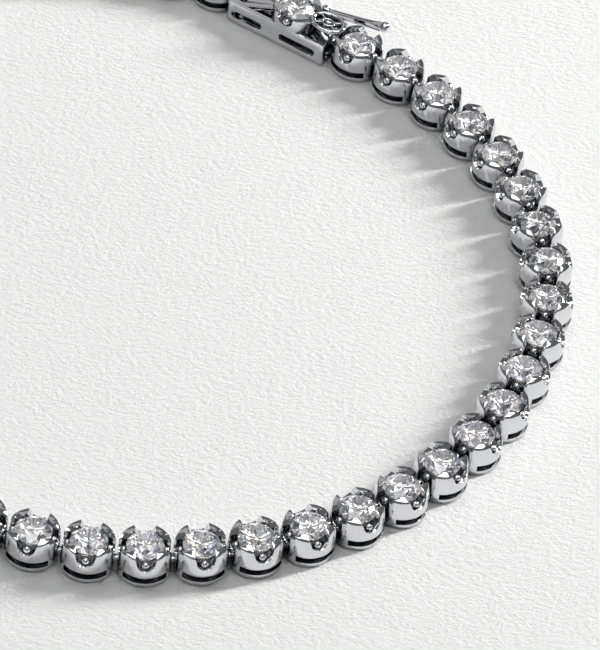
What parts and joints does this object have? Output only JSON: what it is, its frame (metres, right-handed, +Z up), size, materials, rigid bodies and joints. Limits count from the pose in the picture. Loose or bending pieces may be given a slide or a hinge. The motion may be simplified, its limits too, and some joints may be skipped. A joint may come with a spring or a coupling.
{
  "type": "tennis bracelet",
  "caption": "Tennis bracelet: one strand of round stones in four-prong cup settings, hinged in a loop and closed by a box clasp with a thumb press and a side safety latch.",
  "frame": {"origin": "middle of the underside of the bracelet's box, on the surface that it lies on", "axes": "+Z up out of the loop, towards the stones' tables; the loop lies in X and Y, with the clasp towards +Y and +X"},
  "size_m": [0.0586, 0.0618, 0.0032],
  "materials": {
    "white_gold": "polished white gold with rhodium plating",
    "diamond": "polished round brilliant facets"
  },
  "bodies": {
    "bracelet": {"link_run_1": "white_gold", "link_run_2": "white_gold", "link_run_3": "white_gold", "link_run_4": "white_gold", "link_run_5": "white_gold", "link_run_6": "white_gold", "clasp_box": "white_gold", "clasp_tongue": "white_gold", "stone_01": "diamond", "stone_02": "diamond", "stone_03": "diamond", "stone_04": "diamond", "stone_05": "diamond", "stone_06": "diamond", "stone_07": "diamond", "stone_08": "diamond", "stone_09": "diamond", "stone_10": "diamond", "stone_11": "diamond", "stone_12": "diamond", "stone_13": "diamond", "stone_14": "diamond", "stone_15": "diamond", "stone_16": "diamond", "stone_17": "diamond", "stone_18": "diamond", "stone_19": "diamond", "stone_20": "diamond", "stone_21": "diamond", "stone_22": "diamond", "stone_23": "diamond", "stone_24": "diamond", "stone_25": "diamond", "stone_26": "diamond", "stone_27": "diamond", "stone_28": "diamond", "stone_29": "diamond", "stone_30": "diamond", "stone_31": "diamond", "stone_32": "diamond", "stone_33": "diamond", "stone_34": "diamond", "stone_35": "diamond", "stone_36": "diamond", "stone_37": "diamond", "stone_38": "diamond", "stone_39": "diamond", "stone_40": "diamond", "stone_41": "diamond", "stone_42": "diamond", "stone_43": "diamond", "stone_44": "diamond", "stone_45": "diamond", "stone_46": "diamond", "clasp_stone": "diamond"},
    "safety_latch": {"safety_latch": "white_gold"}
  },
  "joints": [
    {"name": "safety_latch_hinge", "type": "hinge", "parent": "bracelet", "child": "safety_latch", "pos_m": [0.01047, 0.02624, 0.0015], "axis": [-0.4891, -0.8722, 0], "range_deg": [0, 110]}
  ]
}
